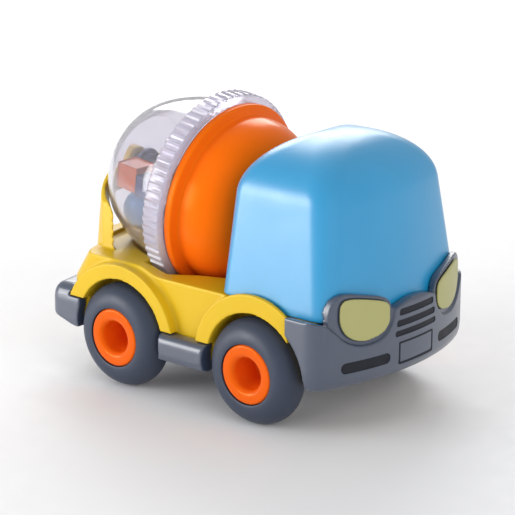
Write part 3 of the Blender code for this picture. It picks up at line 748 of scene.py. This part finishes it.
def add_bulkhead(chassis):
    """The tilted plate behind the cab, which holds the drum's front pin."""
    half = [(19, -19), (17, -6), (8, 4), (5, 6.8)]
    plate = [(-19, -19)] + half + [(0, 8)] + [(-x, z) for x, z in reversed(half[1:])]
    up = on_drum(0, 1, 90) - on_drum(0)
    ends = [on_drum(along) for along in (CONE_END - 3.1, CONE_END - 0.75)]
    join(chassis, lofted([[end + Vector((x, 0, 0)) + up * z for x, z in plate] for end in ends]))


def cut_underside(chassis):
    """The motor bay, the room for the side steps, the tunnel and the wheel arches."""
    cut(chassis, box((-BAY_HALF, -44.5, 10), (BAY_HALF, -13.5, 60)))
    cut(chassis, box((-31.0, -6.0, 10), (31.0, 11.0, TUNNEL_Z)))
    cut(chassis, box((-BAY_HALF, -13.6, 10), (BAY_HALF, 50.0, TUNNEL_Z)))
    for side in (-1, 1):
        for y in (FRONT_Y, REAR_Y):
            cut(chassis, wheel_cylinder(y, WHEEL_ARCH_Z, WHEEL_ARCH_R, WELL_INNER_X, WELL_OUTER_X, side))


def add_screw_bosses(chassis):
    foot = FLOOR_Z + 0.05
    tube = [(foot, 1.5), (foot, 3.2), (22.1, 3.2), (22.1, 1.5)]
    for x, y in SCREWS:
        join(chassis, turned(tube, 40, Matrix.Translation((x, y, 0)), True))


def make_chassis():
    chassis = to_object("chassis_moulding", deck_block())
    keep(chassis, bowed_rear())
    add_fenders(chassis)
    add_rear_arch(chassis)
    add_bulkhead(chassis)
    cut_underside(chassis)
    add_screw_bosses(chassis)
    for y in (FRONT_Y, REAR_Y):
        cut(chassis, rod((-30, y, TYRE_R), (30, y, TYRE_R), 2.6))
    cut(chassis, trough())
    cut(chassis, cab_clearance(CAB_Z - CAB_ROOM))
    cut(chassis, skirt_clearance())
    for first, last in ((CONE_END - 4, CONE_END), (36, 43.8)):
        cut(chassis, rod(on_drum(first), on_drum(last), PIN_R + GAP))
    moulded(chassis, voxel=0.4, rounding=4, share=0.3)
    return finished(chassis, YELLOW, "truck_body", ["chassis"])


# ---------------------------------------------------------------- front bumper and headlights


def bumper_outline(inset, rear=BUMPER_REAR):
    """Plan of the front bumper, open towards the rear."""
    corner = max(8.0 - inset, 1.0)
    front_radius = 80.0 - inset
    return plan_outline(SIDE_X - inset, BUMPER_FRONT + inset, rear, corner, 0, front_radius, (40, 16, 0))


def lens_outline(sign, grow):
    """Front view of a headlight: flat slanting top, bowl-shaped below."""
    points = [(12.3, 37.5), (12.6, 34.6), (14.6, 32.2), (18.0, 31.0), (22.0, 30.6), (25.8, 31.6)]
    points += [(28.6, 33.8), (30.1, 37.0), (30.4, 40.4), (29.8, 43.2), (28.0, 44.4), (24.5, 44.1)]
    points += [(19.0, 42.9), (14.8, 41.6), (12.8, 40.2)]
    middle = Vector((21.5, 37.8))
    grown = []
    for point in curve_through(points, 5):
        away = Vector(point) - middle
        x, z = middle + away * (1 + grow / away.length)
        grown.append((sign * x, z))
    return grown


def front_layer(outline, deep, shallow):
    """What an outline in front view takes of the bumper's curved front between two depths."""
    layer = to_object("layer", prism(outline, -70, -45, "Y"))
    keep(layer, prism(bumper_outline(shallow), 15, 50))
    cut(layer, prism(bumper_outline(deep, BUMPER_REAR + 5), 10, 55))
    return drawing_of(layer)


def slot_outlines():
    """Front views of the three grille slots and the two lower slots."""
    grille = []
    for low, half, tall in ((35.7, 8.5, 2.2), (32.3, 9.6, 2.1), (29.2, 10.2, 1.9)):
        corners = [(-half - 0.4, low), (half + 0.4, low), (half, low + tall), (-half, low + tall)]
        grille.append(rounded(corners, 0.8))
    lower = []
    for sign in (-1, 1):
        corners = [(12.5, 25.1), (12.3, 21.7), (30.2, 21.4), (30.5, 24.9)]
        lower.append(rounded([(sign * x, z) for x, z in corners], 1.6))
    return grille, lower


def bumper_shell():
    """The wall of the bumper, with soft lower and upper edges and a lower edge that lifts in the middle."""
    levels = ((BUMPER_Z, 2.4), (16.3, 1.7), (16.7, 1.1), (17.6, 0.6), (19.5, 0.2), (22.0, 0.0))
    levels += ((39.2, 0.0), (39.9, 0.25), (40.25, 0.6), (BUMPER_TOP, 1.1))
    rings = []
    for z, inset in levels:
        lift = BUMPER_LIFT if z < 19 else 0.0
        rings.append([(x, y, z + lift * (1 - (x / SIDE_X) ** 2)) for x, y in bumper_outline(inset)])
    shell = to_object("front_bumper_moulding", lofted(rings))
    cut(shell, prism(bumper_outline(BUMPER_WALL, BUMPER_REAR + 5), 10, 50))
    return shell


def above_crest():
    """Space above the bumper's upper edge: low below the headlights, high over the grille."""
    side = [(39.5, 38.2), (35.5, 37.7), (33.0, 35.6), (29.0, 31.6), (24.0, 29.4), (18.0, 29.4)]
    side += [(13.8, 31.2), (11.3, 34.5), (10.3, 38.4)]
    side = [(39.5, 50)] + curve_through(side, 6, closed=False)
    middle = [(x, 40.3 - 0.018 * x * x) for x in (7, 5, 3, 1, -1, -3, -5, -7)]
    return prism(side + middle + [(-x, z) for x, z in reversed(side)], -70, -30, "Y")


def lamp_hood(sign):
    """The raised surround of one headlight, with the lens' seat cut in."""
    hood = to_object("hood", prism(bumper_outline(HOOD_SETBACK), 26.0, 48.0))
    cut(hood, prism(bumper_outline(6.5, BUMPER_REAR + 9), 20, 50))
    crown = [(10.7, 38.6), (12.0, 41.2), (15.0, 43.0), (22.0, 44.8), (27.0, 45.9)]
    crown += [(30.0, 45.7), (32.2, 43.9), (33.4, 41.0), (33.7, 38.0)]
    outline = [(10.7, 26)] + curve_through(crown, 5, closed=False) + [(33.7, 26)]
    keep(hood, prism([(sign * x, z) for x, z in outline], -70, -47.9, "Y"))
    cut(hood, front_layer(lens_outline(sign, GAP), LENS_SEAT, 0.0))
    return drawing_of(hood)


def make_front_bumper():
    bumper = bumper_shell()
    cut(bumper, above_crest())
    for sign in (-1, 1):
        join(bumper, lamp_hood(sign))
    cut(bumper, skirt_clearance())
    for side in (-1, 1):
        cut(bumper, wheel_cylinder(FRONT_Y - 0.9, TYRE_R, 20.6, 25, WELL_OUTER_X, side))
    moulded(bumper, voxel=0.34, rounding=3, share=0.45)
    grille, lower = slot_outlines()
    for outline in grille + lower:
        cut(bumper, front_layer(outline, RECESS, -3.0))
    with_edges(bumper, 50)
    return finished(bumper, GREY, "truck_body", ["front_bumper"])


def make_headlights():
    for sign, word in ((1, "left"), (-1, "right")):
        layer = front_layer(lens_outline(sign, 0.0), LENS_SEAT - GAP, 0.3)
        lens = to_object(f"headlight_{word}", layer)
        moulded(lens, voxel=0.26, rounding=4)
        finished(lens, LENS, "truck_body", [f"headlight_lens_{word}"])


def make_prints():
    """Dark printed areas in the slots and a blank plate's thin frame."""
    grille, lower = slot_outlines()
    names = ["grille_print_1", "grille_print_2", "grille_print_3", "vent_print_right", "vent_print_left"]
    for name, outline in zip(names, grille + lower):
        print_layer = to_object(name, front_layer(outline, RECESS + PRINT_DEPTH, RECESS - PRINT_RISE))
        finished(print_layer, PRINT, "truck_body")
    border = []
    for grow in (0.0, -0.6):
        half = PLATE_HALF + grow
        low = PLATE_LOW - grow
        high = PLATE_HIGH + grow
        corners = [(-half, low), (half, low), (half, high), (-half, high)]
        border.append(rounded(corners, 0.5 + grow / 2, 4))
    plate = to_object("plate_frame_print", front_layer(border[0], 0.25, -0.06))
    cut(plate, prism(border[1], -70, -45, "Y"))
    finished(plate, PRINT, "truck_body")


# ---------------------------------------------------------------- floor and rear bumper


def side_step(side):
    """One side step, with its outer edges rounded off."""
    sections = []
    for x, inset in ((33.4, 0.0), (36.2, 0.0), (37.2, 0.3), (38.0, 0.9), (38.5, 1.7), (38.7, 2.6)):
        front = inset - 9.0
        rear = 14.0 - inset
        low = STEP_Z + inset
        high = 22.0 - inset
        corners = [(front, low), (rear, low), (rear, high), (front, high)]
        sections.append([(side * x, y, z) for y, z in rounded(corners, 1.8)])
    return lofted(sections)


def make_base_plate():
    """The floor, its two side steps, and the bearing blocks that hold the axles."""
    top = FLOOR_Z - GAP
    plate = to_object("base_plate_moulding", box((-25.2, -44.0, PLATE_Z), (25.2, 50.5, top)))
    join(plate, box((-SIDE_X, -8.6, PLATE_Z + 0.2), (SIDE_X, 13.6, top - 0.1)))
    for side in (-1, 1):
        join(plate, side_step(side))
        for y in (FRONT_Y, REAR_Y):
            low, high = sorted((side * 16.0, side * 20.5))
            join(plate, box((low, y - 4.0, PLATE_Z + 1), (high, y + 4.0, 20.6)))
    for side in (-1, 1):
        for y in (FRONT_Y, REAR_Y):
            cut(plate, wheel_cylinder(y, TYRE_R, 18.5, WELL_INNER_X, WELL_OUTER_X, side))
    cut(plate, box((-8.0, FRONT_Y - 11.2, 10), (12.6, FRONT_Y + 11.2, 18)))
    for y in (FRONT_Y, REAR_Y):
        cut(plate, rod((-24, y, TYRE_R), (24, y, TYRE_R), RUN_R))
    screw_hole = [(10, 0), (10, 3.2), (14.3, 3.2), (14.3, 1.8), (20, 1.8), (20, 0)]
    for x, y in SCREWS:
        cut(plate, turned(screw_hole, 32, Matrix.Translation((x, y, 0))))
    moulded(plate, voxel=0.42, rounding=7, share=0.4)
    return finished(plate, GREY, "truck_body", ["base_plate"])


def bar_block():
    """The outside of the rear bumper, with soft lower and upper edges."""
    levels = ((14.5, 2.2), (14.8, 1.4), (15.5, 0.7), (16.6, 0.2), (18.0, 0.0), (24.6, 0.0), (26.4, 0.3))
    levels += ((27.8, 1.0), (28.8, 2.0), (29.4, 3.2), (29.7, 4.4))
    rings = []
    for z, inset in levels:
        corner = max(4.5 - inset, 1.0)
        plan = plan_outline(37.0 - inset, inset - REAR_END, -47.3, corner, 0, 180.0 - inset, (20, 12, 0))
        rings.append([(x, -y, z) for x, y in plan])
    return lofted(rings)


def fender_tail(side):
    """Space that the tail of a rear fender takes in the bumper."""
    y, z, radius = REAR_FENDER
    tail = to_object("tail", wheel_cylinder(y, z, radius + GAP, 28.6, WELL_OUTER_X, side))
    cut(tail, slab(y=(-60, 80), z=(-20, REAR_FENDER_END - GAP)))
    return drawing_of(tail)


def make_rear_bumper():
    bar = to_object("rear_bumper_moulding", bar_block())
    cut(bar, prism([(45, 10), (70, 10), (70, 22.4), (50, 16.0), (45, 16.0)], -BEYOND, BEYOND, "X"))
    cut(bar, prism([(-32, 45), (32, 45), (32, 54), (29, 57.6), (-29, 57.6), (-32, 54)], 10, 24.6))
    cut(bar, box((-BODY_HALF - 0.4, 40, 10), (BODY_HALF + 0.4, 52.4, 32)))
    for side in (-1, 1):
        cut(bar, wheel_cylinder(REAR_Y, WHEEL_ARCH_Z, WHEEL_ARCH_R + 0.2, 24, WELL_OUTER_X, side))
        cut(bar, fender_tail(side))
    moulded(bar, voxel=0.36, rounding=7, share=0.6)
    return finished(bar, GREY, "truck_body", ["rear_bumper"])


# ---------------------------------------------------------------- wheels


def tyre_profile():
    """(distance from the tyre's middle, radius): a fat round section on a stepped seat."""
    centre = TYRE_R - TYRE_TUBE
    inner_side = 5.3
    seat_r = 8.9
    steps = 40
    ring = []
    for i in range(steps + 1):
        turn = math.radians(-5 + 190 * i / steps)
        width = TYRE_TUBE if i < steps / 2 else inner_side
        ring.append((width * math.cos(turn), centre + TYRE_TUBE * math.sin(turn)))
    return ring + [(-5.1, seat_r), (4.0, seat_r), (4.0, HUB_R + SEAT_ROOM), (HUB_FACE, HUB_R + SEAT_ROOM)]


def hub_profile():
    """(distance from the tyre's middle, radius): round rim, deep well, barrel, and a blind bore inside."""
    barrel_r = 8.6
    bore_r = AXLE_R + GAP
    corners = [(HUB_FLOOR, 0.01), (HUB_FLOOR, 3.5), (3.0, 5.0), (HUB_FACE, 5.3), (HUB_FACE, HUB_R)]
    face = rounded(corners + [(HUB_SHOULDER, HUB_R)], [0, 1.4, 3.0, 2.2, 1.4, 0], 9, closed=False)
    barrel = [(HUB_SHOULDER, barrel_r), (HUB_BACK, barrel_r), (HUB_BACK, bore_r), (HUB_BORE_END, bore_r)]
    return [(HUB_FLOOR, 0)] + face + barrel + [(HUB_BORE_END, 0.01), (HUB_BORE_END, 0)]


def make_wheels():
    for name, y in (("front", FRONT_Y), ("rear", REAR_Y)):
        body = f"{name}_wheelset"
        for word, side in (("left", 1), ("right", -1)):
            place = Matrix.Translation((side * WHEEL_X, y, TYRE_R))
            place = place @ Matrix.Rotation(math.radians(90 * side), 4, "Y")
            tyre = to_object(f"{name}_{word}_tyre", turned(tyre_profile(), WHEEL_STEPS, place, closed=True))
            hub = to_object(f"{name}_{word}_hub", turned(hub_profile(), WHEEL_STEPS, place))
            for made in (tyre, hub):
                with_edges(made, 50)
            finished(tyre, TYRE, body, [f"tyre_{name}_{word}"])
            finished(hub, HUB, body, [f"hub_{name}_{word}"])
        half = WHEEL_X + HUB_BORE_END - GAP
        chamfer = 0.3
        ends = [(-half, 0), (-half, AXLE_R - chamfer), (chamfer - half, AXLE_R)]
        profile = ends + [(-along, radius) for along, radius in reversed(ends)]
        place = Matrix.Translation((0, y, TYRE_R)) @ Matrix.Rotation(math.radians(90), 4, "Y")
        axle = to_object(f"{name}_axle_rod", turned(profile, 48, place))
        with_edges(axle, 30)
        finished(axle, STEEL, body, [f"{name}_axle"])


# ---------------------------------------------------------------- drum


def cone_profile():
    """(along, radius) of the orange cone: a stepped lip, a bowl outside, and the lining inside."""
    corners = [(0.3, 29.4), (0.3, RIM_R), (-2.4, RIM_R), (-3.0, 28.0), (-4.2, 27.8)]
    lip = rounded(corners, 0.8, 8, closed=False)
    bowl = [(-4.2, 27.8), (-7.0, 27.7), (-10.5, 27.0), (-14.0, 25.5), (-17.0, 23.2), (-19.4, 20.0)]
    bowl = curve_through(bowl + [(-20.8, 16.6), (CONE_END, 13.0)], 8, closed=False)
    lining_end = CONE_END + DRUM_WALL
    lining = [(lining_end, PIN_R + GAP), (lining_end, 15.0), (-18.0, 20.0), (-15.5, 23.1)]
    lining += [(-12.4, 25.1), (-8.8, 26.2), (-4.8, 26.7), (-1.4, 28.0)]
    return lip[:-1] + bowl + [(CONE_END, PIN_R + GAP)] + lining


def dome_wall():
    """(along, radius) of the clear dome, outside and inside."""
    outside = [(DOME_MOUTH, DOME_R)] + dome_profile() + [(DOME_END, PIN_R + GAP)]
    inside = [(DOME_END - DRUM_WALL, PIN_R + GAP)] + dome_profile(DRUM_WALL)[::-1]
    return outside + inside + [(DOME_MOUTH, DOME_R - DRUM_WALL)]


def ribbed_ring():
    """Grip ring: square axial ribs behind a plain sloping front band."""
    place = drum_place()
    inside = DOME_R + 0.5
    sections = [(RING_FRONT, 31.9, 0.0), (0.8, 32.4, 0.0), (1.1, RING_R - 0.3, 0.0)]
    sections += [(1.3, RING_R - 0.1, 0.6), (1.5, RING_R, 1.0), (6.9, RING_R, 1.0), (7.2, RING_R - 0.2, 0.8)]
    sections += [(RING_REAR, 32.6, 0.0), (RING_REAR, inside, 0.0), (RING_FRONT, inside, 0.0)]
    count = RIBS * RIB_STEPS
    rings = []
    for along, radius, depth in sections:
        row = []
        for i in range(count):
            angle = 2 * math.pi * i / count
            wave = 0.5 - 0.5 * math.cos(RIBS * angle)
            groove = min(max((wave - 0.3) / 0.4, 0), 1)
            reach = radius - RIB_DEPTH * depth * groove
            row.append(place @ Vector((reach * math.cos(angle), reach * math.sin(angle), along)))
        rings.append(row)
    return lofted(rings, closed=True)


def make_drum():
    cone = to_object("drum_cone_shell", turned(cone_profile(), DRUM_STEPS, drum_place(), True))
    dome = to_object("drum_dome_shell", turned(dome_wall(), DRUM_STEPS, drum_place(), True))
    ring = to_object("drum_ribbed_ring", ribbed_ring())
    for made in (cone, dome, ring):
        with_edges(made, 40)
    finished(cone, ORANGE, "drum", ["drum_cone"])
    finished(dome, CLEAR, "drum", ["drum_dome"])
    finished(ring, RIBBED, "drum", ["drum_grip_ring"])


def dimpled_block(half):
    """A cube with a shallow square recess in each face."""
    drawn = box((-half, -half, -half), (half, half, half))
    bmesh.ops.inset_individual(drawn, faces=drawn.faces[:], thickness=half * 0.38)
    sides = [face for face in drawn.faces if face.calc_area() > half * half]
    bmesh.ops.inset_individual(drawn, faces=sides, thickness=0.3, depth=-0.35)
    return drawn


def seamed_ball(radius, place):
    """A ball with a moulding seam round its middle."""
    steps = 60
    profile = [(-radius, 0)]
    for i in range(1, steps):
        turn = math.pi * i / steps
        seam = SEAM if abs(i - steps // 2) < 2 else 0.0
        profile.append((-radius * math.cos(turn), (radius - SEAM + seam) * math.sin(turn)))
    return turned(profile + [(radius, 0)], 72, place)


def make_mixing_pieces():
    """Blocks and balls lying in a heap inside the drum, placed by (along, across, up) from its middle."""
    tilt = drum_place().to_3x3().to_4x4()
    blocks = (("orange", ORANGE, (30.3, -11.5, -0.2), 4.2), ("navy", NAVY, (21.9, -13.2, -1.2), 3.4))
    for word, surface, (along, across, up), half in blocks:
        centre = on_drum(along, up, 90) + Vector((across, 0, 0))
        drawn = dimpled_block(half)
        bmesh.ops.transform(drawn, matrix=Matrix.Translation(centre) @ tilt, verts=drawn.verts)
        block = to_object(f"mixing_{word}_block", drawn)
        soften_edges(block, 0.9, 4)
        bake(block)
        block.data.shade_smooth()
        finished(block, surface, "drum", [f"mixing_block_{word}"])
    balls = (("sky", SKY, (27.0, -9.5, -11.8), 7.0), ("navy", NAVY, (12.0, -9.0, -18.5), 6.2))
    balls += (("orange", ORANGE, (-3.0, -4.0, -18.0), 6.4),)
    for word, surface, (along, across, up), radius in balls:
        centre = on_drum(along, up, 90) + Vector((across, 0, 0))
        ball = to_object(f"mixing_{word}_ball", seamed_ball(radius, Matrix.Translation(centre) @ tilt))
        ball.data.shade_smooth()
        finished(ball, surface, "drum", [f"mixing_ball_{word}"])


# ---------------------------------------------------------------- pieces kept from the CAD


def keep_cad(nodes, surface, bevel=0.0):
    """CAD nodes that stay as they are, with a better material and softened edges."""
    for name in nodes:
        made = frame["nodes"][name]
        made.data.materials.clear()
        made.data.materials.append(surface)
        if bevel:
            soft = soften_edges(made, bevel, 2)
            soft.limit_method = "ANGLE"
            soft.angle_limit = math.radians(40)


def make_kept_pieces():
    keep_cad(["idler_pin", "flywheel_pin", "drum_front_pin", "drum_rear_pin", "flywheel"], STEEL)
    keep_cad([f"base_screw_{number}" for number in (1, 2, 3, 4)], STEEL)
    keep_cad(["axle_gear"], BRASS)
    keep_cad(["idler_gear"], NYLON)
    keep_cad(["motor_housing", "motor_cover"], CASING, 0.4)
    keep_cad(["drum_rear_bush"], NAVY)


# ---------------------------------------------------------------- studio


def area_light(name, at, width, height, power):
    """A soft rectangular lamp, aimed at the middle of the truck and hidden from the camera."""
    data = bpy.data.lights.new(name, "AREA")
    data.shape = "RECTANGLE"
    data.size = width
    data.size_y = height
    data.energy = power
    made = bpy.data.objects.new(name, data)
    made.location = at
    made.rotation_euler = (Vector(AIM) - Vector(at)).to_track_quat("-Z", "Y").to_euler()
    made.visible_camera = False
    bpy.context.scene.collection.objects.link(made)
    return made


def make_floor():
    disc = bmesh.new()
    bmesh.ops.create_circle(disc, cap_ends=True, segments=96, radius=FLOOR_RADIUS)
    mesh = bpy.data.meshes.new("studio_floor")
    disc.to_mesh(mesh)
    disc.free()
    floor = bpy.data.objects.new("studio_floor", mesh)
    floor.location = (0, 0, -FLOOR_DROP)
    bpy.context.scene.collection.objects.link(floor)
    pale = plastic("studio_paper", (0.86, 0.86, 0.87), 0.6, grain=0.0, tint=0.005, wear=0.0, spec=0.2)
    mesh.materials.append(pale)


def make_lights():
    world = bpy.data.worlds.new("studio_world")
    bpy.context.scene.world = world
    world.use_nodes = True
    sky = world.node_tree.nodes["Background"]
    sky.inputs["Color"].default_value = (1.0, 1.0, 1.0, 1.0)
    sky.inputs["Strength"].default_value = 0.55
    area_light("left_softbox", at=(-0.55, 0.43, 0.17), width=0.5, height=0.32, power=3.5)
    area_light("top_softbox", at=(0.58, 0.48, 0.52), width=0.6, height=0.5, power=4.3)
    fill = area_light("front_fill", at=(-0.28, -0.68, 0.32), width=0.6, height=0.53, power=2.3)
    fill.visible_glossy = False


def make_camera():
    scene = bpy.context.scene
    scene.view_settings.view_transform = "Standard"
    data = bpy.data.cameras.new("camera")
    data.sensor_width = SENSOR_MM
    data.lens = LENS_MM
    data.clip_start = 0.01
    camera = bpy.data.objects.new("camera", data)
    scene.collection.objects.link(camera)
    camera.location = CAMERA_AT
    camera.rotation_euler = Vector(CAMERA_VIEW).to_track_quat("-Z", "Y").to_euler()
    scene.camera = camera


make_cab()
make_chassis()
make_front_bumper()
make_headlights()
make_prints()
make_base_plate()
make_rear_bumper()
make_wheels()
make_drum()
make_mixing_pieces()
make_kept_pieces()
make_floor()
make_lights()
make_camera()
